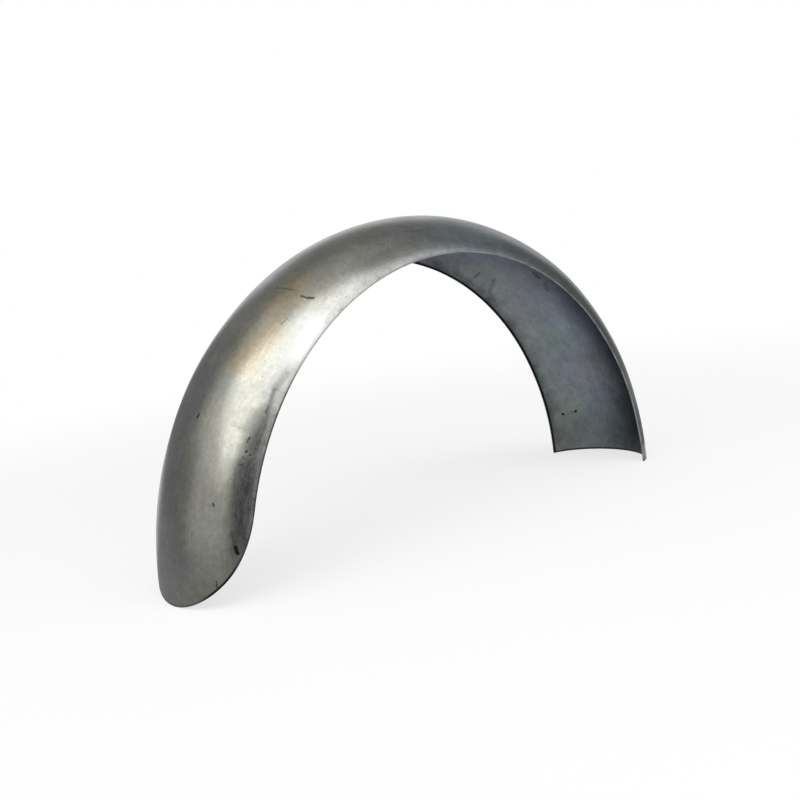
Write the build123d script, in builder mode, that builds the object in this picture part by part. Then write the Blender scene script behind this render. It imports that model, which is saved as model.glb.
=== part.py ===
from build123d import *
import math
import os

# Motorcycle rear fender: one bare steel sheet, pressed to a rounded channel and rolled over the tyre.
# It stands on its two ends as an arch. The origin is the wheel's centre, between the ends and level
# with them: +X points at the square end, -X at the rounded tip, Y runs along the axle and +Z is up.

# Driving dimensions, in millimetres and degrees
rim_radius = 300.0  # axle to the free edges of the two side walls
width = 154.0  # over both rims
depth = 45.0  # rim to crown, along a radius
rim_turn = 78.0  # how far round its ellipse the section runs from the crown to each rim
sheet = 2.0  # thickness of the steel
wrap = 180.0  # how far round the wheel the crown reaches
tip_rake = 48.0  # slope of the straight cut across the tip, from square across the fender
tip_corner = 175.0  # radius that rounds the two corners of the tip into the rims

# The section is part of an ellipse that passes through the crown and both rims.
turn = math.radians(rim_turn)
half_across = width / 2 / math.sin(turn)
half_deep = depth / (1 - math.cos(turn))
crown_radius = rim_radius + depth
section_centre = crown_radius - half_deep

# Seen from the side, the tip is cut straight from the crown, and an arc rounds that cut into the rims.
# The axle is at 0, 0 here and the crown's end on the first axis. The arc just clears the rims' inner
# edges, so that it leaves the sheet cleanly: its centre lies off the cut by its own radius, and off the
# axle by that radius and blend_radius.
rake = math.radians(tip_rake)
blend_radius = rim_radius - sheet / 2
crown_end = Vector(crown_radius, 0)
along_cut = Vector(-math.cos(rake), math.sin(rake))
into_sheet = Vector(math.sin(rake), math.cos(rake))
offset_end = crown_end + into_sheet * tip_corner
middle = offset_end.dot(along_cut)
reach = offset_end.dot(offset_end) - (blend_radius + tip_corner) ** 2
cut_length = -middle - math.sqrt(middle**2 - reach)
arc_start = crown_end + along_cut * cut_length
arc_centre = offset_end + along_cut * cut_length
arc_end = arc_centre * (blend_radius / (blend_radius + tip_corner))

# How far the cutter stands clear of the sheet
clear = depth

with BuildPart() as fender:
    # Section at the square end, drawn from the crown to one rim, mirrored and swung about the axle
    with BuildSketch(Plane.XY) as section:
        with BuildLine():
            outside = EllipticalCenterArc((section_centre, 0), half_deep, half_across, arc_size=rim_turn)
            inside = EllipticalCenterArc(
                (section_centre, 0), half_deep - sheet, half_across - sheet, arc_size=rim_turn
            )
            Line(outside @ 1, inside @ 1)
            mirror(about=Plane.XZ)
        make_face()
    revolve(axis=Axis((0, 0, 0), (0, -1, 0)), revolution_arc=wrap)

    # Tip cut, drawn in the plane of the wheel and taken right across
    wrap_end = math.radians(wrap)
    tip_plane = Plane((0, 0, 0), x_dir=(math.cos(wrap_end), 0, math.sin(wrap_end)), z_dir=(0, 1, 0))
    with BuildSketch(tip_plane) as tip:
        with BuildLine():
            straight = Line(crown_end - along_cut * clear, arc_start)
            corner = TangentArc(arc_start, arc_end, tangent=straight % 1)
            inner = arc_end * ((rim_radius - clear) / rim_radius)
            Polyline(corner @ 1, inner, (inner.X, -clear), straight @ 0)
        make_face()
    extrude(amount=width, both=True, mode=Mode.SUBTRACT)

fender.part.label = "fender"
os.makedirs("parts", exist_ok=True)
export_step(fender.part, "parts/fender.step")

box = fender.part.bounding_box()
print(f"fender: {box.size.X:.2f} x {box.size.Y:.2f} x {box.size.Z:.2f} mm, {fender.part.volume:.0f} mm3")
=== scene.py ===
# %% [markdown]
# # A bare steel rear fender for a motorcycle
#
# The real thing is one sheet of steel, pressed to a shallow channel and rolled round the wheel
# for half a turn. One end is cut square, the other is trimmed to a rounded tongue, and nothing
# is drilled or welded on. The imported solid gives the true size, so it is loaded first, and every
# later size is worked out from it or named where it is first needed.

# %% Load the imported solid
import math

import bpy
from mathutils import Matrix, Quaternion, Vector


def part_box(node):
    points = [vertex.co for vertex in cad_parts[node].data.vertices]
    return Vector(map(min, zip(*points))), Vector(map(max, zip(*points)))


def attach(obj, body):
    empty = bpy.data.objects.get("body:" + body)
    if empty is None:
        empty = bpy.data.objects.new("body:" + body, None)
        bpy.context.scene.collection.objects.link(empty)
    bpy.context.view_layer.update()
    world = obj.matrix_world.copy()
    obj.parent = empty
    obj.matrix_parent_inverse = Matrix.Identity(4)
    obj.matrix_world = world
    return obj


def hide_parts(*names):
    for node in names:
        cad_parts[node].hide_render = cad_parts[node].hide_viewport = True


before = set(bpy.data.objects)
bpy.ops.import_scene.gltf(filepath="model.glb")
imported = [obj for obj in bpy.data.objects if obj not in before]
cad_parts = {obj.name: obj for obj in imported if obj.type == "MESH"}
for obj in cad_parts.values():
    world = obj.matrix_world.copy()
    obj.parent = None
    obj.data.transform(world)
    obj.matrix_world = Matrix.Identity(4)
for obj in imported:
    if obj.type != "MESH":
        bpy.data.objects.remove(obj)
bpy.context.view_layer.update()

high = Vector(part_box("fender")[1])
crown_radius = high.z
half_width = high.y
print(f"crown radius {crown_radius * 1000:.1f} mm, width {half_width * 2000:.1f} mm")

# %% [markdown]
# ## The section of the sheet
#
# Cut across, the sheet is part of an ellipse: flat over the tyre's tread and turned down at both
# sides, stopping just before it would hang straight. A circle would be simpler, but it makes the
# crown too round, so the highlight would run in the wrong place. Two facts fix the ellipse: how
# deep the channel is and how far its sides have turned at the rim.

# %% Section from the crown to the rim
rim_radius = 0.300
rim_turn = math.radians(78)
half_across = half_width / math.sin(rim_turn)
half_deep = (crown_radius - rim_radius) / (1 - math.cos(rim_turn))
section_centre = crown_radius - half_deep


def section_point(turn):
    """Radius from the axle and distance across, where the outside has turned this far."""
    return section_centre + half_deep * math.cos(turn), half_across * math.sin(turn)


print(f"channel {1000 * (crown_radius - section_point(rim_turn)[0]):.1f} mm deep")

# %% [markdown]
# ## The trimmed tip
#
# Seen from the side, the tip is cut along a straight line that leans back from the crown, and then
# swings into the rim along an arc. On the bent sheet that plain cut becomes the rounded tongue.
# It could be cut with a Boolean, but a sheet that simply ends at the right angle has cleaner faces,
# so the cut is solved for the angle at which each strip of the sheet stops.

# %% Where each strip ends
tip_rake = math.radians(48)
tip_corner = 0.175
tip_point = Vector((crown_radius, 0))
along_cut = Vector((-math.cos(tip_rake), math.sin(tip_rake)))
into_sheet = Vector((math.sin(tip_rake), math.cos(tip_rake)))

# The arc's centre lies off the cut by the arc's radius, and off the axle by that and the rim's radius.
corner_start = tip_point + into_sheet * tip_corner
middle = corner_start.dot(along_cut)
reach = corner_start.length_squared - (rim_radius + tip_corner) ** 2
cut_length = -middle - math.sqrt(middle**2 - reach)
corner_centre = corner_start + along_cut * cut_length
corner_angle = math.atan2(corner_centre.y, corner_centre.x)


def end_angle(radius):
    """Angle round the axle, from the square end, at which the tip cuts this radius off."""
    lean = crown_radius * math.cos(tip_rake)
    run = lean - math.sqrt(max(lean**2 - crown_radius**2 + radius**2, 0))
    if run <= cut_length:
        cut = tip_point + along_cut * run
        return math.pi - math.atan2(cut.y, cut.x)
    far = corner_centre.length
    swing_cosine = (radius**2 + far**2 - tip_corner**2) / (2 * radius * far)
    return math.pi - (corner_angle - math.acos(min(swing_cosine, 1)))


print(f"the rim stops {math.degrees(end_angle(rim_radius)):.1f} degrees round from the square end")

# %% [markdown]
# ## Waves left by the press
#
# A press never leaves a perfect surface. Three slow waves, together a few tenths of a millimetre high,
# are too little to see as dents but enough to make a highlight wander. They could be a bump in the
# finish, but real height also bends the outline and belongs to the mesh itself.

# %% Height of the waves
wave_height = 0.00012
rows_of_waves = ((0.21, 0.9, 0.3), (0.13, -1.4, 1.7), (0.34, 0.4, 4.1))  # length, lean and start


def press_wave(along, across):
    """Height of the faint waves left by the press, at a place on the flat sheet."""
    return wave_height * sum(
        math.sin(2 * math.pi * (along + lean * across) / length + start)
        for length, lean, start in rows_of_waves
    )


print(f"waves up to {1000 * wave_height * len(rows_of_waves):.2f} mm high")

# %% [markdown]
# ## Measuring over the sheet
#
# Every scratch and stain will be placed on the sheet as if it lay flat: so far along from the square
# end and so far across from the crown. The distance across follows the curve of the section, so it is
# added up in small steps. The slope of the tip's cut is needed too, because dirt lies at an even
# distance from that cut.

# %% Distances on the flat sheet


def girth_to(turn, steps=200):
    """Distance over the outside from the crown to where the sheet has turned this far."""
    points = [Vector(section_point(turn * step / steps)) for step in range(steps + 1)]
    return math.copysign(sum((b - a).length for a, b in zip(points, points[1:])), turn)


def tip_slope(turn, step=0.01):
    """How far the cut of the tip runs along the sheet for each metre across it."""
    ends = [end_angle(section_point(at)[0]) * crown_radius for at in (turn - step, turn + step)]
    return (ends[1] - ends[0]) / (girth_to(turn + step) - girth_to(turn - step))


half_girth = girth_to(rim_turn)
print(f"{2000 * half_girth:.0f} mm from rim to rim over the crown")

# %% [markdown]
# ## The outside skin
#
# Only the outside of the sheet is drawn, as a grid of four-sided faces: stations run round the wheel
# and strips run across it. The strips crowd towards the rims, where the tip's arc needs more corners.
# Each corner of the grid remembers two things for later: its place on the flat sheet, which puts every
# mark where it belongs, and its distance from the tip's cut.

# %% Draw the grid
stations = 320
strips = 96
crowding = 0.6
just_inside = 0.98  # the cut has no slope past the rim, so it is read a little before it
corners = []
places = []
tip_gaps = []
for strip in range(strips + 1):
    share = 2 * strip / strips - 1
    turn = rim_turn * ((1 - crowding) * share + crowding * math.sin(math.pi / 2 * share))
    radius, across = section_point(turn)
    girth = girth_to(turn)
    last = end_angle(radius)
    square_on = 1 / math.hypot(1, tip_slope(turn * just_inside))
    for station in range(stations + 1):
        angle = last * station / stations
        lift = press_wave(angle * crown_radius, girth)
        swell = radius + lift * math.cos(turn)
        bulge = across + lift * math.sin(turn)
        corners.append((swell * math.cos(angle), bulge, swell * math.sin(angle)))
        places.append((angle * crown_radius, girth, 0))
        tip_gaps.append((last - angle) * radius * square_on)
column = stations + 1
faces = [
    (first, first + column, first + column + 1, first + 1)
    for strip in range(strips)
    for first in range(strip * column, strip * column + stations)
]
skin = bpy.data.meshes.new("fender_sheet")
skin.from_pydata(corners, [], faces)
place = skin.attributes.new("place", "FLOAT_VECTOR", "POINT")
place.data.foreach_set("vector", [number for spot in places for number in spot])
skin.attributes.new("tip_gap", "FLOAT", "POINT").data.foreach_set("value", tip_gaps)
skin.polygons.foreach_set("use_smooth", [True] * len(skin.polygons))
print(len(faces), "faces, the first looks", "out" if skin.polygons[0].normal.x > 0 else "in")

# %% [markdown]
# ## Thickness and dressed edges
#
# Modifiers turn the skin into sheet metal. Solidify grows the gauge inwards and gives the inside and
# the cut edge material slots of their own, so each can have its own finish. Bevel then takes the burr
# off the cut edges, as a file does. Weighted normals keep the broad faces shading as one smooth sheet
# right up to that tiny rounding.

# %% Turn the skin into a sheet
gauge = 0.002
burr_radius = 0.0003
sharp_corner = math.radians(50)
inside_slot, edge_slot = 1, 2
sheet = bpy.data.objects.new("fender_sheet", skin)
bpy.context.scene.collection.objects.link(sheet)
thicken = sheet.modifiers.new("gauge", "SOLIDIFY")
thicken.thickness = gauge
thicken.offset = -1
thicken.use_even_offset = True
thicken.material_offset = inside_slot
thicken.material_offset_rim = edge_slot
dress = sheet.modifiers.new("dressed_edges", "BEVEL")
dress.width = burr_radius
dress.segments = 2
dress.limit_method = "ANGLE"
dress.angle_limit = sharp_corner
smooth = sheet.modifiers.new("smooth_faces", "WEIGHTED_NORMAL")
smooth.keep_sharp = False
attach(sheet, "root")
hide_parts("fender")
print(f"sheet {gauge * 1000:.0f} mm thick, edges dressed to {burr_radius * 1000:.1f} mm")

# %% [markdown]
# ## Small tools for building finishes
#
# A finish is a little network of shader nodes. Written out one by one, the nodes hide the idea, so a
# few helpers add a node, do a sum and mix two colours. In the Mix node, sockets 6 and 7 hold the two
# colours and output 2 the result.

# %% Helpers that add shader nodes


def add(tree, kind, inputs, **settings):
    """Add a shader node; inputs are numbers, colours or the outputs of other nodes."""
    made = tree.nodes.new(kind)
    for name, value in settings.items():
        setattr(made, name, value)
    for name, value in inputs.items():
        if isinstance(value, bpy.types.NodeSocket):
            tree.links.new(value, made.inputs[name])
        else:
            made.inputs[name].default_value = value
    return made


def math_of(tree, operation, first, second):
    """One sum on two values."""
    return add(tree, "ShaderNodeMath", {0: first, 1: second}, operation=operation).outputs[0]


def times(tree, first, second):
    """Two values multiplied."""
    return math_of(tree, "MULTIPLY", first, second)


def most(tree, first, *others):
    """The largest of several values."""
    for other in others:
        first = math_of(tree, "MAXIMUM", first, other)
    return first


def vector_of(tree, operation, *vectors):
    """One sum on places or colours, axis by axis."""
    return add(tree, "ShaderNodeVectorMath", dict(enumerate(vectors)), operation=operation).outputs[0]


def mix_colour(tree, share, first, second, how="MIX"):
    """Blend two colours; a share of one gives the second."""
    inputs = {"Factor": share, 6: first, 7: second}
    return add(tree, "ShaderNodeMix", inputs, data_type="RGBA", blend_type=how).outputs[2]


print("node helpers ready")

# %% [markdown]
# ## Clouds and soft edges
#
# Worn metal varies without a pattern. Noise gives cloudy values about a half, in patches of a given
# real size, and a Map Range node turns them, or any distance, into a mask with a soft edge. The same two
# helpers make grain, stains and gloss, so nothing has to be painted.

# %% Helpers for cloudy values and masks


def clouds(tree, where, size, detail=3.0):
    """Cloudy values about a half, with patches of this size in metres."""
    inputs = {"Vector": where, "Scale": 1 / size, "Detail": detail}
    return add(tree, "ShaderNodeTexNoise", inputs).outputs["Fac"]


def between(tree, value, start, stop, low_end=0.0, high_end=1.0):
    """Ease from the low end to the high end as the value goes from start to stop."""
    inputs = {"Value": value, 1: start, 2: stop, 3: low_end, 4: high_end}
    return add(tree, "ShaderNodeMapRange", inputs, interpolation_type="SMOOTHSTEP").outputs[0]


def swing(tree, cloudy, amount, centre=1.0, start=0.3, stop=0.7):
    """Spread cloudy values by an amount to each side of a centre."""
    return between(tree, cloudy, start, stop, centre - amount, centre + amount)


print("cloud helpers ready")

# %% [markdown]
# ## One mark
#
# The sheet has been handled, so it carries scratches, specks and stains. They could be painted on an
# image, but a formula stays sharp at any size. One node group measures the distance from a short line
# on the flat sheet and turns it into a mask, so a scratch, a round speck and a soft stain are the same
# thing with other sizes.

# %% One mark as a node group


def mark_group():
    """Node group that masks a line of a given length and width on the flat sheet."""
    group = bpy.data.node_groups.new("mark", "ShaderNodeTree")
    for name, kind in (
        ("Place", "Vector"), ("Middle", "Vector"), ("Turn", "Float"),
        ("Reach", "Float"), ("Core", "Float"), ("Fade", "Float"),
    ):
        group.interface.new_socket(name, in_out="INPUT", socket_type=f"NodeSocket{kind}")
    group.interface.new_socket("Mask", in_out="OUTPUT", socket_type="NodeSocketFloat")
    given = group.nodes.new("NodeGroupInput").outputs
    result = group.nodes.new("NodeGroupOutput")
    apart = vector_of(group, "SUBTRACT", given["Place"], given["Middle"])
    turned = add(group, "ShaderNodeVectorRotate", {"Vector": apart, "Angle": given["Turn"]},
                 rotation_type="Z_AXIS", invert=True).outputs[0]
    axes = add(group, "ShaderNodeSeparateXYZ", {0: turned}).outputs
    length = math_of(group, "ABSOLUTE", axes["X"], 0.0)
    past_end = most(group, math_of(group, "SUBTRACT", length, given["Reach"]), 0.0)
    gap = add(group, "ShaderNodeCombineXYZ", {0: past_end, 1: axes["Y"]}).outputs[0]
    distance = add(group, "ShaderNodeVectorMath", {0: gap}, operation="LENGTH").outputs["Value"]
    edge = math_of(group, "ADD", given["Core"], given["Fade"])
    group.links.new(between(group, distance, edge, given["Core"]), result.inputs["Mask"])
    return group


one_mark = mark_group()
print("mark group has", len(one_mark.nodes), "nodes")

# %% [markdown]
# ## Many marks
#
# A list of marks becomes one mask by keeping the strongest at each place. A maker would note a mark
# by how far round the fender it is and how far from the crown, so the lists do the same. Each mark is:
# degrees round from the square end, millimetres across from the crown (below nought on the near side),
# lean in degrees, then length, width and fade in millimetres, and strength.

# %% A list of marks as one mask
millimetre = 0.001


def round_to(degrees):
    """Distance along the crown from the square end, for an angle round the axle."""
    return math.radians(degrees) * crown_radius


def marks_mask(tree, where, marks):
    """The strongest of all the marks at each place."""
    strongest = 0.0
    for degrees, across, lean, length, width, fade, strength in marks.values():
        inputs = {
            "Place": where,
            "Middle": (round_to(degrees), across * millimetre, 0),
            "Turn": math.radians(lean),
            "Reach": length * millimetre / 2,
            "Core": width * millimetre / 2,
            "Fade": fade * millimetre,
        }
        mask = add(tree, "ShaderNodeGroup", inputs, node_tree=one_mark).outputs["Mask"]
        strongest = most(tree, strongest, times(tree, mask, strength))
    return strongest


print(f"ten degrees round are {1000 * round_to(10):.0f} mm along the crown")

# %% [markdown]
# ## The start of every finish
#
# The outside, the inside and the cut edge each get a material. All three begin in the same way, with a
# metal shader and the place on the flat sheet, and end in the same way, with a colour and a roughness.
# Bare steel is metal all over, dirt included, because a thin black film still mirrors a little, so
# Metallic is set on the shader itself.

# %% Begin and end a finish


def finish(name):
    """A new material, with its node tree, its shader and the place on the flat sheet."""
    made = bpy.data.materials.new(name)
    made.use_nodes = True
    tree = made.node_tree
    where = add(tree, "ShaderNodeAttribute", {}, attribute_name="place").outputs["Vector"]
    return made, tree, tree.nodes["Principled BSDF"], where


def metal(tree, surface, colour, rough):
    """Give the shader its colour and roughness, and make it metal all over."""
    tree.links.new(colour, surface.inputs["Base Color"])
    tree.links.new(rough, surface.inputs["Roughness"])
    surface.inputs["Metallic"].default_value = 1.0


def bumped(tree, surface, height, strength, deep):
    """Let a height tilt the light on the surface, this many metres deep."""
    inputs = {"Height": height, "Strength": strength, "Distance": deep}
    tree.links.new(add(tree, "ShaderNodeBump", inputs).outputs[0], surface.inputs["Normal"])


def along_sheet(tree, where):
    """Distance along the flat sheet from the square end."""
    return add(tree, "ShaderNodeSeparateXYZ", {0: where}).outputs["X"]


def across_sheet(tree, where):
    """Distance across the flat sheet from the crown."""
    return add(tree, "ShaderNodeSeparateXYZ", {0: where}).outputs["Y"]


print("finish helpers ready")

# %% [markdown]
# ## Rolled grain
#
# Rolling draws a sheet's fine lines out along its length, and handling leaves it cloudy at several
# sizes at once. Streaks are clouds stretched along the sheet. Shaking a place by a little noise gives
# fields and marks ragged edges, which keeps the formula from showing.

# %% Streaks, ragged edges and grain
fine_patch, mottle_patch, broad_patch = 0.004, 0.009, 0.035
drawn_length, drawn_width = 0.05, 0.0025


def streaks(tree, where, length, width):
    """Cloudy values drawn out along the way the sheet was rolled."""
    stretch = {"Vector": where, "Scale": (1 / length, 1 / width, 1)}
    return clouds(tree, add(tree, "ShaderNodeMapping", stretch).outputs[0], 1.0, 4.0)


def shaken(tree, where, size, far):
    """The place moved about a little, so that fields and marks get ragged edges."""
    inputs = {"Vector": where, "Scale": 1 / size, "Detail": 3.0}
    jitter = add(tree, "ShaderNodeTexNoise", inputs).outputs["Color"]
    centred = vector_of(tree, "SUBTRACT", jitter, (0.5, 0.5, 0.5))
    return vector_of(tree, "MULTIPLY_ADD", centred, (far, far, 0), where)


def grain(tree, where, colour):
    """Vary a metal's colour the way a rolled and handled sheet varies."""
    fine = swing(tree, clouds(tree, where, fine_patch, 4.0), 0.07)
    broad = swing(tree, clouds(tree, where, broad_patch, 4.0), 0.07)
    drawn = swing(tree, streaks(tree, where, drawn_length, drawn_width), 0.045)
    mottle = swing(tree, clouds(tree, where, mottle_patch), 0.05, start=0.35, stop=0.65)
    level = times(tree, times(tree, fine, broad), times(tree, drawn, mottle))
    return vector_of(tree, "MULTIPLY", colour, level)


print(f"grain from {1000 * fine_patch:.0f} to {1000 * broad_patch:.0f} mm")

# %% [markdown]
# ## Colour of the bare steel
#
# Bare mild steel is a satin grey mirror. Oil and the heat of forming leave it straw coloured in places
# and faintly green or plum in others. Along part of the near rim a painted highlight brightens the steel
# and smooths its grain, and a few pale scuffs cross the top. So the colour starts from broad fields,
# takes the films one by one, and is broken up by the grain last.

# %% Fields, films and scuffs of the outside
straw_steel = (0.345, 0.345, 0.305, 1)
grey_steel = (0.338, 0.338, 0.338, 1)
green_steel = (0.300, 0.325, 0.33, 1)
far_grey_from, far_grey_to = -0.024, 0.010
rim_grey_from, rim_grey_to, rim_grey_share = -0.064, -0.090, 0.7
green_from, green_to = round_to(112), round_to(84)
slow_wander, slow_reach = 0.09, 0.06
films = {
    "tan": ((0.40, 0.345, 0.235, 1), {
        "high": (123, -36, 0, 36, 10, 26, 0.80),
        "low": (134, -43, 12, 44, 8, 24, 0.75),
    }),
    "plum": ((0.31, 0.295, 0.32, 1), {
        "crown": (96, -28, 20, 26, 6, 22, 0.7),
        "tongue": (170, -70, 0, 8, 4, 9, 0.5),
        "tip": (173, -24, 30, 20, 6, 22, 0.6),
    }),
    "green": ((0.265, 0.325, 0.333, 1), {
        "near wall": (80, -78, 0, 50, 16, 26, 0.8),
        "square end": (44, -86, 0, 60, 4, 20, 0.5),
    }),
}
# Painted highlight: brighter steel along part of the near rim, with its grain taken off there
painted_highlight_steel = (0.395, 0.395, 0.385, 1)
grain_off_in_highlight = 0.7
scuffed_steel = (0.50, 0.50, 0.49, 1)
pale_scuffs = {
    "line": (100.9, -64.3, -52, 18, 0.3, 1.2, 0.35),
    "rub": (93.3, -75.1, -79, 10, 0.8, 2.5, 0.40),
    "curl": (102.3, -57.5, 37, 20, 0.3, 1.5, 0.25),
    "spot": (92.1, -54.4, -14, 8, 1.0, 3.0, 0.35),
}


def steel_colour(tree, where, soft, ragged, painted_highlight):
    """Colour of the sheet: broad fields, films, a painted highlight by the near rim, then grain."""
    across = across_sheet(tree, soft)
    far_side = between(tree, across, far_grey_from, far_grey_to)
    by_rim = between(tree, across, rim_grey_from, rim_grey_to, 0.0, rim_grey_share)
    colour = mix_colour(tree, most(tree, far_side, by_rim), straw_steel, grey_steel)
    along = along_sheet(tree, shaken(tree, where, slow_wander, slow_reach))
    colour = mix_colour(tree, between(tree, along, green_from, green_to), colour, green_steel)
    for film, patches in films.values():
        colour = mix_colour(tree, marks_mask(tree, soft, patches), colour, film)
    # Painted highlight by the near rim
    colour = mix_colour(tree, painted_highlight, colour, painted_highlight_steel)
    colour = mix_colour(tree, marks_mask(tree, ragged, pale_scuffs), colour, scuffed_steel)
    plain_share = times(tree, painted_highlight, grain_off_in_highlight)
    return mix_colour(tree, plain_share, grain(tree, where, colour), colour)


print(len(films), "films and", len(pale_scuffs), "scuffs on the outside")

# %% [markdown]
# ## Stains and painted shade on the bare steel
#
# Low on the near wall, towards the tip, the steel is darkened in streaks: partly by old oil, partly by
# painted shade for the dark reflections there. More painted dark reflections lie along the near rim by
# the square end and on the near wall above the specks. Each dims what is under it, so its shade is
# multiplied with the steel's colour instead of covering it.

# %% Stains, painted shade and painted reflections of the outside
# Partly stains, partly painted shade: dark reflections of the low near wall painted into the colour
stains_and_painted_shade = {
    "near wall by the tip": (161.5, -87, -4, 60, 10, 21, 0.65),
    "wedge by the rim": (147, -90, -3, 26, 2, 6, 0.30),
    "near wall, high": (147, -82, -4, 40, 3, 9, 0.25),
    "rim by the tip": (154, -92, 0, 44, 3, 7, 0.50),
}
stain_and_shade_colour = (0.395, 0.395, 0.45, 1)
dark_streak_length, dark_streak_width = 0.022, 0.005
# Painted dark reflections: darker steel where the near wall mirrors dark surroundings
painted_dark_reflections = {
    "near rim by the square end": (3, -97, 0, 90, 6, 34, 0.85),
    "near wall above the specks": (148, -77, -2, 28, 4, 14, 0.46),
}
dark_reflection_colour = (0.40, 0.405, 0.42, 1)


def stained_and_shaded_steel(tree, where, soft, stain, colour):
    """The steel's colour under its streaky stains and painted shade, and its painted dark reflections."""
    streaky = between(tree, streaks(tree, where, dark_streak_length, dark_streak_width), 0.35, 0.65, 0.15, 1.0)
    colour = mix_colour(tree, times(tree, stain, streaky), colour, stain_and_shade_colour, "MULTIPLY")
    return mix_colour(tree, marks_mask(tree, soft, painted_dark_reflections), colour, dark_reflection_colour, "MULTIPLY")


# The sooty films counted here are the painted dark reflections
print(len(stains_and_painted_shade), "stains and", len(painted_dark_reflections), "sooty films")

# %% [markdown]
# ## Scratches and specks outside
#
# These are the marks that an eye finds first: a long scratch across the sheet, dark streaks and a scatter
# of specks by the near rim, a black smear by the tip, and faint smudges on top. Each was measured once
# and written down as numbers, so it stays in place from every side.

# %% Marks of the outside
outside_marks = {
    "cross scratch on the crown": (122.4, -10.2, 90, 26, 0.4, 1.5, 0.32),
    "cross scratch, middle": (122.1, -27.9, 84, 22, 0.8, 1.5, 0.60),
    "cross scratch, faint link": (121.8, -44.0, 82, 10, 0.3, 1.2, 0.28),
    "cross scratch, deep": (122.3, -55.9, 82, 7, 1.3, 1.4, 0.80),
    "cross scratch, hook": (121.9, -61.6, 54, 6, 1.5, 1.4, 0.85),
    "short scratch": (128.3, -55.8, 7, 9, 0.5, 1.3, 0.45),
    "crown stroke": (148.4, -13.0, 19, 3.4, 1.6, 1.0, 0.95),
    "faint crown stroke 1": (144.8, -8.8, -23, 8, 0.4, 1.6, 0.30),
    "faint crown stroke 2": (152.6, -8.7, -37, 8, 0.4, 1.6, 0.35),
    "rim smear": (137.0, -87.0, 9, 14, 1.0, 9.0, 0.06),
    "rim streak, high": (138.6, -84.7, 9, 22, 1.4, 5.5, 0.25),
    "rim streak, knot": (140.8, -82.7, 8, 5, 1.0, 1.8, 0.50),
    "rim streak, low": (144.2, -84.6, -6, 42, 0.6, 3.2, 0.42),
    "rim streak, low knot": (144.4, -83.5, 2, 7, 1.0, 1.8, 0.60),
    "rim smudge 1": (146.8, -83.1, -6, 10, 1.0, 2.2, 0.40),
    "rim smudge 2": (149.1, -82.1, 15, 7, 1.2, 2.0, 0.45),
    "rim smudge 3": (151.1, -81.4, 6, 5, 1.4, 2.0, 0.45),
    "faint cross line": (148.9, -64, 92, 17, 0.4, 1.2, 0.16),
    "dash": (150.5, -75.9, 13, 5, 0.9, 0.9, 0.75),
    "speck 1": (152.6, -76.8, 10, 1.4, 1.6, 0.8, 0.90),
    "speck 2": (152.9, -81.4, 10, 1.4, 1.5, 0.8, 0.85),
    "speck 3": (153.7, -75.4, -11, 1.6, 1.0, 0.8, 0.75),
    "speck 4": (155.0, -75.0, 77, 2.0, 1.1, 0.8, 0.80),
    "speck 5": (153.4, -86.6, 0, 2.0, 0.9, 0.9, 0.60),
    "wall streak 1": (160.9, -82.7, -14, 14, 0.8, 3.0, 0.45),
    "wall streak 2": (163.5, -80.4, -21, 6, 0.8, 1.6, 0.65),
    "wall streak 3": (164.8, -75.0, -13, 5, 0.7, 1.4, 0.55),
    "wall streak 4": (166.1, -83.9, 9, 12, 0.8, 2.4, 0.60),
    "wall speck": (162.3, -54.8, -21, 3.4, 0.9, 0.9, 0.90),
    "tongue speck 1": (164.0, -22, 0, 0.8, 1.0, 1.2, 0.40),
    "tongue speck 2": (169.1, -23, 0, 0.8, 1.0, 1.2, 0.35),
    "tip smear": (169.5, -79.2, -16, 4.5, 2.4, 2.2, 1.00),
    "tip smear, foot": (170.1, -80.3, -50, 1.6, 2.8, 1.8, 1.00),
    "tip smear, tail": (167.7, -76.2, -10, 12, 0.5, 2.6, 0.70),
    "tip smear, top": (166.8, -75.2, 10, 4, 1.8, 3.4, 0.60),
    "edge nick": (175.5, -59.0, -1, 6, 0.5, 0.9, 0.85),
    "top smudge 1": (94.4, -46.7, 25, 14, 1.0, 3.5, 0.30),
    "top smudge 2": (94.1, -57.2, 19, 18, 1.0, 4.0, 0.20),
    "top smudge 3": (103.7, -49.8, 49, 22, 2.0, 7.0, 0.18),
    "top rim smudge 1": (85.7, -83.5, 6, 20, 1.0, 3.0, 0.22),
    "top rim smudge 2": (76.7, -83.6, -4, 26, 1.0, 2.5, 0.45),
}
print(len(outside_marks), "marks on the outside")

# %% [markdown]
# ## Dirt and a dark line along the edges
#
# Dirt collects where a cloth can't reach, in a thin dark line along the rims, which grows darker towards
# the tip. A dark line also runs along the tip's own cut. The rim's line only needs the distance to the
# rim, but the tip's cut runs aslant, so it uses the distance that each corner of the grid remembers.

# %% Lines of dirt
rim_line_fades, rim_line_full = 0.0024, 0.0010
rim_line_starts, rim_line_there, rim_line_share = round_to(80), round_to(96), 0.30
tip_half_starts, tip_half_there, tip_half_share = round_to(126), round_to(144), 0.80
tip_line_fades, tip_line_full = 0.0032, 0.0014
tip_line_grey, tip_line_black = -0.035, -0.052
tip_line_thins, tip_line_thin = -0.072, -0.086


def rim_distance(tree, where):
    """Distance over the sheet to the nearer rim."""
    across = math_of(tree, "ABSOLUTE", across_sheet(tree, where), 0.0)
    return math_of(tree, "SUBTRACT", half_girth, across)


def tip_half(tree, where):
    """One towards the tip, nought over the top and on the half with the square end."""
    return between(tree, along_sheet(tree, where), tip_half_starts, tip_half_there)


def rim_line(tree, where):
    """Dirt in a thin line along the rims."""
    along = along_sheet(tree, where)
    past_top = between(tree, along, rim_line_starts, rim_line_there, 0.0, rim_line_share)
    darkness = most(tree, past_top, times(tree, tip_half(tree, where), tip_half_share))
    close = between(tree, rim_distance(tree, where), rim_line_fades, rim_line_full)
    return times(tree, close, darkness)


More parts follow.
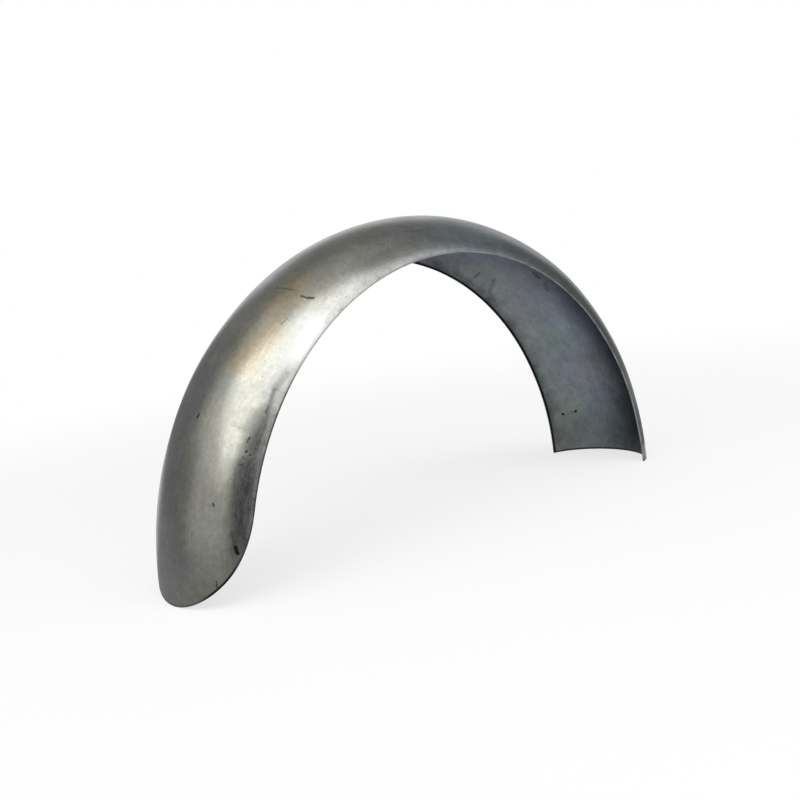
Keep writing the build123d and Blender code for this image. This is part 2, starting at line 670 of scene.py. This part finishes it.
def tip_line(tree, where):
    """A thin dark line along the cut of the tip, blackest halfway down the near wall."""
    gap = add(tree, "ShaderNodeAttribute", {}, attribute_name="tip_gap").outputs["Fac"]
    across = across_sheet(tree, where)
    off_crown = between(tree, across, tip_line_grey, tip_line_black, 0.40, 1.0)
    off_rim = between(tree, across, tip_line_thins, tip_line_thin, 1.0, 0.75)
    close = between(tree, gap, tip_line_fades, tip_line_full)
    return times(tree, close, times(tree, off_crown, off_rim))


print(f"rim line {1000 * rim_line_fades:.1f} mm wide, tip line {1000 * tip_line_fades:.1f} mm")

# %% [markdown]
# ## All the dirt outside
#
# Besides the lines and marks there are small things without number: smudges by the rims, pepper all over,
# and flecks in the stained wall. Noise scatters them, and they keep off the painted highlight by the near
# rim. Where two kinds of dirt meet, the darker one wins.

# %% Dirt of the outside
smudge_patch, pepper_patch = 0.010, 0.0045
smudge_fades, smudge_full = 0.010, 0.001  # from the rim
fleck_length, fleck_width = 0.005, 0.0030


def outside_dirt(tree, where, ragged, painted_highlight, stain):
    """How dirty each place is, from nought to one."""
    smudge = between(tree, clouds(tree, where, smudge_patch, 5.0), 0.45, 0.70)
    by_rim = between(tree, rim_distance(tree, where), smudge_fades, smudge_full, 0.0, 0.25)
    pepper = between(tree, clouds(tree, where, pepper_patch, 2.0), 0.66, 0.74, 0.0, 0.35)
    loose = most(tree, times(tree, by_rim, smudge), pepper)
    # Loose dirt keeps off the painted highlight
    loose = times(tree, loose, math_of(tree, "SUBTRACT", 1.0, painted_highlight))
    flecks = between(tree, streaks(tree, where, fleck_length, fleck_width), 0.50, 0.62, 0.0, 0.9)
    lines = most(tree, rim_line(tree, where), tip_line(tree, where))
    marks = marks_mask(tree, ragged, outside_marks)
    return most(tree, loose, times(tree, stain, flecks), lines, marks)


print(f"pepper of {1000 * pepper_patch:.1f} mm, flecks of {1000 * fleck_length:.0f} mm")

# %% [markdown]
# ## Bare steel, outside
#
# Now the layers come together: steel with a painted highlight by the near rim, stains and painted shade,
# then dirt on top. The gloss is soft, follows the rolling lines and dulls under dirt. A very shallow bump
# along the same lines makes the highlight slightly brushed. A mirror finish with a painted highlight
# would look right from one side only, so elsewhere the highlight comes from the lamps.

# %% Finish of the outside
grime_and_shade = (0.020, 0.020, 0.022, 1)
# Place of the painted highlight by the near rim
painted_highlight_rim = {"near rim": (129, -84, 0, 24, 4, 32, 0.90)}
patch_wander, patch_reach = 0.03, 0.03
ragged_edges = ((0.004, 0.0025), (0.0014, 0.0014))  # size of the noise and how far it reaches
line_length, line_width = 0.08, 0.0011
steel_gloss, gloss_patch = 0.3025, 0.03
dulled_by_dirt = 0.3
pit_patch, pit_height = 0.0012, 1.5
brushed_strength, brushed_depth = 0.25, 0.00006


def outside_finish():
    """Bare satin steel with its films, stains, dirt and rolling lines."""
    made, tree, surface, where = finish("bare_steel_outside")
    soft = shaken(tree, where, patch_wander, patch_reach)
    ragged = where
    for size, far in ragged_edges:
        ragged = shaken(tree, ragged, size, far)
    painted_highlight = marks_mask(tree, where, painted_highlight_rim)
    # Mask of the stains and of the painted shade on the near wall
    stain = marks_mask(tree, soft, stains_and_painted_shade)
    colour = steel_colour(tree, where, soft, ragged, painted_highlight)
    colour = stained_and_shaded_steel(tree, where, soft, stain, colour)
    dirt = outside_dirt(tree, where, ragged, painted_highlight, stain)
    lines = streaks(tree, where, line_length, line_width)
    cloudy_gloss = swing(tree, clouds(tree, where, gloss_patch), 0.0175, steel_gloss)
    gloss = math_of(tree, "ADD", swing(tree, lines, 0.025, 0.0), cloudy_gloss)
    rough = math_of(tree, "ADD", gloss, times(tree, dirt, dulled_by_dirt))
    metal(tree, surface, mix_colour(tree, dirt, colour, grime_and_shade), rough)
    pits = times(tree, clouds(tree, where, pit_patch), pit_height)
    bumped(tree, surface, math_of(tree, "ADD", lines, pits), brushed_strength, brushed_depth)
    return made


sheet.data.materials.append(outside_finish())
print("outside finish has", len(sheet.data.materials[0].node_tree.nodes), "nodes")

# %% [markdown]
# ## Colour of the mill scale
#
# The hollow side kept the blue-grey scale of the rolling mill, because nothing rubbed it off. Scale is
# darker and duller than bare metal and turns plum and green in patches. Painted shade darkens the near
# half, the hollow under the crown, with a plum tint, and the bottom by the square end, with a green tint.
# Shades that dim are multiplied in, as with the stains outside.

# %% Fields and painted shade of the inside
scale_blue = (0.230, 0.270, 0.310, 1)
scale_green = (0.230, 0.277, 0.270, 1)
scale_plum = (0.257, 0.257, 0.286, 1)
scale_grey = (0.252, 0.272, 0.273, 1)
# Painted shade over the near half of the hollow, deepest by the near wall
painted_arch_shade = (0.24, 0.26, 0.28, 1)
# Painted shade under the crown, tinted plum, and by the square end, tinted green
crown_shade = (0.64, 0.60, 0.69, 1)
crown_slant, crown_from, crown_to = 1.9, 0.14, 0.27
end_shade = (0.75, 0.76, 0.70, 1)
end_from, end_to = 0.09, 0.018
far_wall_from, far_wall_to = 0.050, 0.080
near_half_from, near_half_to = 0.045, -0.035
near_wall_from, near_wall_to = -0.020, -0.055
plum_patch, green_patch, patchy_patch = 0.08, 0.09, 0.030
other_clouds = (5.3, 2.9, 0.7)  # moves the noise, so that green doesn't fall where plum does


def scale_colour(tree, where, soft):
    """Colour of the mill scale, from its patches and painted shade to its grain."""
    plum = between(tree, clouds(tree, where, plum_patch, 2.0), 0.40, 0.64)
    colour = mix_colour(tree, plum, scale_blue, scale_plum)
    moved = vector_of(tree, "ADD", where, other_clouds)
    green = between(tree, clouds(tree, moved, green_patch, 2.0), 0.43, 0.67)
    colour = mix_colour(tree, green, colour, scale_green)
    across = across_sheet(tree, soft)
    far_wall = between(tree, across, far_wall_from, far_wall_to, 0.0, 0.8)
    colour = mix_colour(tree, far_wall, colour, scale_grey)
    # Painted shade on the near half, and more of it by the near wall
    near_half = between(tree, across, near_half_from, near_half_to)
    colour = mix_colour(tree, near_half, colour, painted_arch_shade, "MULTIPLY")
    near_wall = between(tree, across, near_wall_from, near_wall_to, 0.0, 0.8)
    colour = mix_colour(tree, near_wall, colour, painted_arch_shade, "MULTIPLY")
    along = along_sheet(tree, soft)
    # Painted shade under the crown and by the square end
    slant = math_of(tree, "SUBTRACT", along, times(tree, across, crown_slant))
    colour = mix_colour(tree, between(tree, slant, crown_from, crown_to), colour, crown_shade, "MULTIPLY")
    colour = mix_colour(tree, between(tree, along, end_from, end_to), colour, end_shade, "MULTIPLY")
    patchy = swing(tree, clouds(tree, where, patchy_patch), 0.05)
    return grain(tree, where, vector_of(tree, "MULTIPLY", colour, patchy))


print(f"scale in patches of {1000 * plum_patch:.0f} mm")

# %% [markdown]
# ## Mill scale, inside
#
# On the scale lie two small dark dots with a faint line between them, a few soft stains under the top,
# and dirt towards the rims. Along the square end, where it stands on the floor, lies a dark line of
# painted shade. The finish takes the same helpers as the outside with a rougher gloss and a coarser bump.

# %% Finish of the inside
inside_marks = {
    "dot 1": (9.4, 73.0, 0, 1.0, 2.4, 1.2, 1.00),
    "dot 2": (9.5, 54.5, 0, 1.0, 2.4, 1.2, 1.00),
    "dash by dot 2": (9.4, 58.0, 88, 5, 0.5, 1.2, 0.35),
    "line between dots": (9.0, 63.5, 88, 18, 0.3, 1.5, 0.12),
    "short stroke": (54.9, 73.2, -84, 7, 1.2, 3.2, 0.42),
    "far stain, high": (49.7, 72.9, -59, 19, 1.5, 5.0, 0.35),
    "far stain, low": (47.4, 83.3, -13, 17, 1.0, 5.0, 0.35),
    "near stain": (46.8, 12.1, 1, 9, 2.0, 5.0, 0.60),
    "near stain, tail": (42.7, 13.2, -18, 12, 1.0, 5.0, 0.35),
    "far rim stain 1": (58.9, 86.9, -2, 13, 2.0, 5.0, 0.40),
    "far rim stain 2": (51.7, 87.9, 6, 10, 1.5, 4.0, 0.40),
}
inside_wander, inside_reach = 0.03, 0.02
inside_ragged, inside_ragged_reach = 0.004, 0.003
scale_smudge_patch, scale_smudge_reach = 0.02, 0.03
scale_line_fades, scale_line_full = 0.0045, 0.002
end_line_fades, end_line_full = 0.0035, 0.0015
scale_gloss, scale_gloss_patch = 0.47, 0.025
scale_bump, scale_depth = 0.3, 0.00015


def inside_dirt_and_shade(tree, where):
    """Dirt by the rims, painted shade along the square end, and the marks of the inside."""
    rim = rim_distance(tree, where)
    smudge = between(tree, clouds(tree, where, scale_smudge_patch, 5.0), 0.4, 0.7)
    by_rim = times(tree, between(tree, rim, scale_smudge_reach, 0.0, 0.0, 0.5), smudge)
    line = between(tree, rim, scale_line_fades, scale_line_full)
    # Painted shade: a dark line where the square end stands on the floor
    shade_by_square_end = between(tree, along_sheet(tree, where), end_line_fades, end_line_full, 0.0, 0.9)
    ragged = shaken(tree, where, inside_ragged, inside_ragged_reach)
    return most(tree, by_rim, line, shade_by_square_end, marks_mask(tree, ragged, inside_marks))


def inside_finish():
    """Blue-grey mill scale with its stains and dirt."""
    made, tree, surface, where = finish("mill_scale_inside")
    soft = shaken(tree, where, inside_wander, inside_reach)
    colour = mix_colour(tree, inside_dirt_and_shade(tree, where), scale_colour(tree, where, soft), grime_and_shade)
    cloudy_gloss = swing(tree, clouds(tree, where, scale_gloss_patch, 5.0), 0.05, scale_gloss)
    lines = swing(tree, streaks(tree, where, line_length, line_width), 0.015, 0.0)
    metal(tree, surface, colour, math_of(tree, "ADD", cloudy_gloss, lines))
    bumped(tree, surface, clouds(tree, where, fine_patch, 4.0), scale_bump, scale_depth)
    return made


sheet.data.materials.append(inside_finish())
print("inside finish has", len(inside_marks), "marks")

# %% [markdown]
# ## The cut edge
#
# Where the sheet was sheared, fresh metal shows as a thin bright line, dulled here and there by dirt.
# The edge is only as wide as the gauge, yet it draws the whole outline of the fender, so it gets a
# finish of its own: bright on the near rim, darker towards the tip and on the far rim, and darkened by
# painted shade at the square end, where it stands on the floor.

# %% Finish of the cut edge
sheared_grey = (0.35, 0.355, 0.35, 1)
edge_gloss, edge_patch = 0.41, 0.02
edge_end_shade_fades, edge_end_shade_full = 0.004, 0.0015
far_soil_from, far_soil_to = 0.0, 0.02


def edge_finish():
    """Freshly sheared steel, dirty in places, with painted shade at the square end."""
    made, tree, surface, where = finish("sheared_edge")
    patchy = between(tree, clouds(tree, where, edge_patch, 5.0), 0.4, 0.7, 0.0, 0.55)
    # Painted shade where the square end stands on the floor
    shade_by_square_end = between(tree, along_sheet(tree, where), edge_end_shade_fades, edge_end_shade_full, 0.0, 0.85)
    far_rim = between(tree, across_sheet(tree, where), far_soil_from, far_soil_to, 0.0, 0.9)
    to_tip = times(tree, tip_half(tree, where), 0.92)
    soiled_and_shaded = most(tree, patchy, to_tip, shade_by_square_end, far_rim)
    rough = swing(tree, clouds(tree, where, fine_patch), 0.09, edge_gloss)
    metal(tree, surface, mix_colour(tree, soiled_and_shaded, sheared_grey, grime_and_shade), rough)
    return made


sheet.data.materials.append(edge_finish())
print(len(sheet.data.materials), "finishes on the sheet")

# %% [markdown]
# ## Floor
#
# The fender stands on a white studio sweep. A lit white floor would come out grey and uneven, so the
# floor is plain white to the eye and in reflections, and close to the fender it keeps part of its real
# shading. So the fender still throws a soft shadow, and the floor lights it like any white paper.

# %% White floor
floor_half = 8.0
floor_drop = 0.0003
shadow_share = 0.30
shadow_near, shadow_far = 0.5, 1.6
white_paper = (0.85, 0.85, 0.85, 1)
plain_white = (1, 1, 1, 1)


def paper_finish():
    """White to the eye and in reflections, with the fender's shadow kept near it."""
    paper = bpy.data.materials.new("white_paper")
    paper.use_nodes = True
    tree = paper.node_tree
    tree.nodes.clear()
    path = add(tree, "ShaderNodeLightPath", {}).outputs
    white_to = most(tree, path["Is Camera Ray"], path["Is Glossy Ray"], path["Is Transmission Ray"])
    spot = add(tree, "ShaderNodeTexCoord", {}).outputs["Object"]
    away = add(tree, "ShaderNodeVectorMath", {0: spot}, operation="LENGTH").outputs["Value"]
    kept = between(tree, away, shadow_far, shadow_near, 0.0, shadow_share)
    shaded = add(tree, "ShaderNodeBsdfDiffuse", {"Color": white_paper}).outputs[0]
    plain = add(tree, "ShaderNodeEmission", {"Color": plain_white, "Strength": 1.0}).outputs[0]
    share = times(tree, white_to, math_of(tree, "SUBTRACT", 1.0, kept))
    both = add(tree, "ShaderNodeMixShader", {0: share, 1: shaded, 2: plain}).outputs[0]
    add(tree, "ShaderNodeOutputMaterial", {"Surface": both})
    return paper


floor_mesh = bpy.data.meshes.new("floor")
square = ((-1, -1), (1, -1), (1, 1), (-1, 1))
floor_corners = [(x * floor_half, y * floor_half, -floor_drop) for x, y in square]
floor_mesh.from_pydata(floor_corners, [], [(0, 1, 2, 3)])
floor_mesh.materials.append(paper_finish())
floor = bpy.data.objects.new("floor", floor_mesh)
bpy.context.scene.collection.objects.link(floor)
print(f"floor {2 * floor_half:.0f} m square")

# %% [markdown]
# ## Sky
#
# Satin metal shows what stands round it, so the room is part of the finish. The low sky is white, like
# the wall of a studio, and it darkens overhead, which gives the crown its grey. A colour ramp over the
# height of each direction is enough, and it is the same all the way round.

# %% Sky over the studio
sky_steps = ((24, 1.0), (32.5, 0.27), (60, 0.27), (76, 0.61))  # degrees up and brightness
world = bpy.data.worlds.new("studio")
bpy.context.scene.world = world
world.use_nodes = True
sky = world.node_tree
direction = add(sky, "ShaderNodeTexCoord", {}).outputs["Generated"]
height = add(sky, "ShaderNodeSeparateXYZ", {0: direction}).outputs["Z"]
ramp = add(sky, "ShaderNodeValToRGB", {"Fac": height})
stops = ramp.color_ramp.elements
while len(stops) < len(sky_steps):
    stops.new(1.0)
for stop, (elevation, level) in zip(stops, sky_steps):
    stop.position = math.sin(math.radians(elevation))
    stop.color = (level, level, level, 1)
sky.links.new(ramp.outputs["Color"], sky.nodes["Background"].inputs["Color"])
print(f"sky white up to {sky_steps[0][0]} degrees")

# %% [markdown]
# ## Soft lamps
#
# One large soft lamp high in front makes the broad highlight on the near wall, and two more stretch it
# to both sides. Area lamps are used because their size shows in satin metal, where a point of light
# would leave a hot spot. A lamp's power is worked out from the brightness that a mirror would show.

# %% Lamps
aim = Vector((0, 0, crown_radius / 2))
lamp_distance = 3.0
lamps = {  # azimuth and elevation in degrees, width and height in metres, brightness
    "key_lamp": (-40.5, 48.6, 5.0, 2.58, 2.5),
    "right_lamp": (16, 31, 2.18, 1.46, 1.49),
    "left_lamp": (-114, 48, 1.79, 2.62, 0.56),
}


def towards(azimuth, elevation):
    """Unit direction from the fender; azimuth 0 is the side that faces -Y, 90 faces +X."""
    turn, rise = math.radians(azimuth), math.radians(elevation)
    level = math.cos(rise)
    return Vector((math.sin(turn) * level, -math.cos(turn) * level, math.sin(rise)))


def soft_lamp(name, azimuth, elevation, wide, tall, brightness):
    """A rectangular lamp that faces the fender; brightness is what a mirror would show."""
    lamp = bpy.data.lights.new(name, "AREA")
    lamp.shape = "RECTANGLE"
    lamp.size = wide
    lamp.size_y = tall
    lamp.energy = brightness * math.pi * wide * tall
    stand = bpy.data.objects.new(name, lamp)
    way = towards(azimuth, elevation)
    stand.location = aim + way * lamp_distance
    stand.rotation_mode = "QUATERNION"
    stand.rotation_quaternion = way.to_track_quat("Z", "Y")
    stand.visible_camera = False
    bpy.context.scene.collection.objects.link(stand)


for name, facts in lamps.items():
    soft_lamp(name, *facts)
print(len(lamps), "lamps placed")

# %% [markdown]
# ## Standing cards
#
# A photographer shapes a reflection with cards. Between the lamps the metal shows a dark gap, so a black
# card stands there, and grey cards close the room to the left, the right and behind. Each is an
# even grey panel, bent round the fender and hidden from the camera but not from the metal.

# %% Cards round the fender
cards = {  # azimuths from and to, top elevation, distance, name and level of the grey
    "front_card": ((-57, -12.7), 28.5, 2.4, "black_card", 0.01),
    "back_left_card": ((166, 242.5), 30, 3.4, "dark_card", 0.25),
    "left_card": ((242.5, 302), 30, 3.4, "pale_card", 0.67),
    "right_card": ((57.5, 102), 30, 3.4, "deep_card", 0.16),
    "back_right_card": ((102, 128), 30, 3.4, "mid_card", 0.68),
}


def card_finish(name, level):
    """An even grey, as bright as a mirror would show it."""
    made = bpy.data.materials.new(name)
    made.use_nodes = True
    tree = made.node_tree
    tree.nodes.clear()
    even = add(tree, "ShaderNodeEmission", {"Color": plain_white, "Strength": level}).outputs[0]
    add(tree, "ShaderNodeOutputMaterial", {"Surface": even})
    return made


def panel(name, points, quads, finish_of_panel):
    """A piece of card for the studio, hidden from the camera."""
    mesh = bpy.data.meshes.new(name)
    mesh.from_pydata(points, [], quads)
    mesh.materials.append(finish_of_panel)
    made = bpy.data.objects.new(name, mesh)
    made.visible_camera = False
    bpy.context.scene.collection.objects.link(made)
    return made


def card(name, azimuths, top, distance, finish_of_card, steps=12):
    """A curved wall of card round the fender, between two azimuths, up to an elevation."""
    tall = aim.z + distance * math.tan(math.radians(top))
    points = []
    for step in range(steps + 1):
        way = towards(azimuths[0] + (azimuths[1] - azimuths[0]) * step / steps, 0) * distance
        points += [(way.x, way.y, 0), (way.x, way.y, tall)]
    quads = [(2 * step, 2 * step + 2, 2 * step + 3, 2 * step + 1) for step in range(steps)]
    panel(name, points, quads, finish_of_card)


for name, (azimuths, top, distance, grey, level) in cards.items():
    card(name, azimuths, top, distance, card_finish(grey, level))
print(len(cards), "cards placed")

# %% [markdown]
# ## Mats on the floor
#
# Seen from a little above, the walls of the fender mirror the floor. One grey mat lies round about and
# leaves a strip of white floor bare along the fender. A paler one lies right under the arch as a painted
# shadow: it stands for the fender's own shadow on the floor there. They are kept out of the floor's own
# light and shadow, so only the metal shows them.

# %% Mats that only the metal shows
mat_west, mat_east, mat_front = -0.30, 0.40, -0.375
around = (  # from and to along X, then from and to along Y
    (-floor_half, mat_west, -floor_half, floor_half),
    (mat_west, mat_east, -floor_half, mat_front),
    (mat_east, floor_half, -floor_half, floor_half),
)
# Painted shadow: the fender's own shadow on the floor under the arch, which only the metal shows
under = ((-0.28, 0.33, -0.09, 0.09),)


def mat(name, rectangles, level):
    """Flat pieces of card that lie on the floor and show only in the metal."""
    points = [
        (x, y, 0)
        for west, east, south, north in rectangles
        for x, y in ((west, south), (east, south), (east, north), (west, north))
    ]
    quads = [tuple(range(first, first + 4)) for first in range(0, len(points), 4)]
    laid = panel(name, points, quads, card_finish(name, level))
    laid.visible_diffuse = False
    laid.visible_shadow = False


mat("grey_mat", around, 0.36)
mat("shade_mat", under, 0.60)
print(len(around) + len(under), "pieces of mat laid")

# %% [markdown]
# ## Camera
#
# The camera stands a little above the fender, off its rounded end, and is tilted slightly, so that the
# square end sits higher in the frame. Its place was found by matching the outline of the solid to the
# picture, and is kept as angles and a distance from a point inside the arch.

# %% Place the camera
view_azimuth = -40.1
view_elevation = 8.86
view_roll = math.radians(-7.4)
view_distance = 1.3488
view_target = Vector((-0.0253, 0, 0.1419))
view_lens = 53.71

camera_data = bpy.data.cameras.new("camera")
camera_data.lens = view_lens
camera_data.sensor_width = 36
camera = bpy.data.objects.new("camera", camera_data)
back = towards(view_azimuth, view_elevation)
camera.location = view_target + back * view_distance
camera.rotation_mode = "QUATERNION"
camera.rotation_quaternion = back.to_track_quat("Z", "Y") @ Quaternion((0, 0, 1), view_roll)
bpy.context.scene.collection.objects.link(camera)
bpy.context.scene.camera = camera
bpy.context.scene.view_settings.view_transform = "Standard"
print(f"camera {view_distance:.2f} m away, {view_lens:.0f} mm lens")
